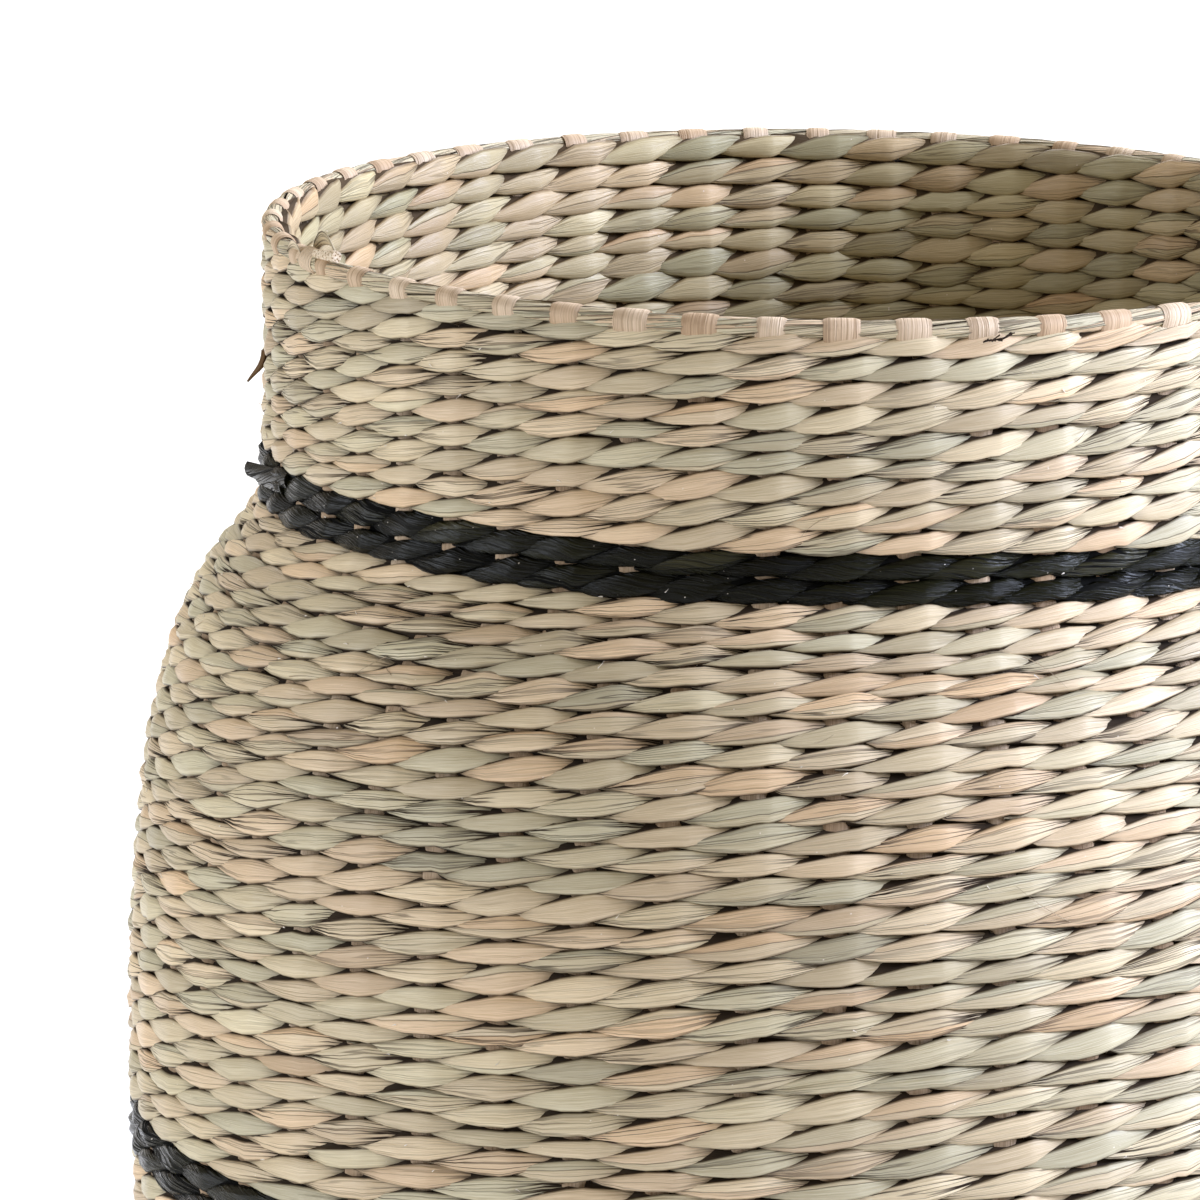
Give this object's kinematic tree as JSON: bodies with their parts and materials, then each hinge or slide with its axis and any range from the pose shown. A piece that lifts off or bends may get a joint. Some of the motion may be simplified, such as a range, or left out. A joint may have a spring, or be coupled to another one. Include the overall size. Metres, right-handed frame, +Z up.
{
  "type": "woven vase",
  "caption": "Round-bellied vase with a straight open neck, twined from leaf strands on flat stakes that fold over a rim cord, with dark bands at shoulder and waist.",
  "frame": {"origin": "middle of the base at the level it stands on", "axes": "+Z up along the vase's axis, -Y towards the side that the picture shows, +X to its right"},
  "size_m": [0.3234, 0.3234, 0.38],
  "materials": {
    "natural_seagrass": "dry leaf, satin, with fine lengthwise creases",
    "black_seagrass": "dyed leaf, satin",
    "rim_seagrass": "dry leaf, satin",
    "stake_strip": "dry split fibre, matt, ridged lengthwise"
  },
  "bodies": {
    "root": {"stake_01": "stake_strip", "stake_02": "stake_strip", "stake_03": "stake_strip", "stake_04": "stake_strip", "stake_05": "stake_strip", "stake_06": "stake_strip", "stake_07": "stake_strip", "stake_08": "stake_strip", "stake_09": "stake_strip", "stake_10": "stake_strip", "stake_11": "stake_strip", "stake_12": "stake_strip", "stake_13": "stake_strip", "stake_14": "stake_strip", "stake_15": "stake_strip", "stake_16": "stake_strip", "stake_17": "stake_strip", "stake_18": "stake_strip", "stake_19": "stake_strip", "stake_20": "stake_strip", "stake_21": "stake_strip", "stake_22": "stake_strip", "stake_23": "stake_strip", "stake_24": "stake_strip", "stake_25": "stake_strip", "stake_26": "stake_strip", "base_outer_weft": "natural_seagrass", "base_inner_weft": "natural_seagrass", "foot_outer_weft": "natural_seagrass", "foot_inner_weft": "natural_seagrass", "waist_band_outer_weft": "black_seagrass", "waist_band_inner_weft": "black_seagrass", "belly_outer_weft": "natural_seagrass", "belly_inner_weft": "natural_seagrass", "shoulder_band_outer_weft": "black_seagrass", "shoulder_band_inner_weft": "black_seagrass", "neck_outer_weft": "natural_seagrass", "neck_inner_weft": "natural_seagrass", "rim_cord": "rim_seagrass", "rim_tie": "stake_strip"}
  },
  "joints": []
}
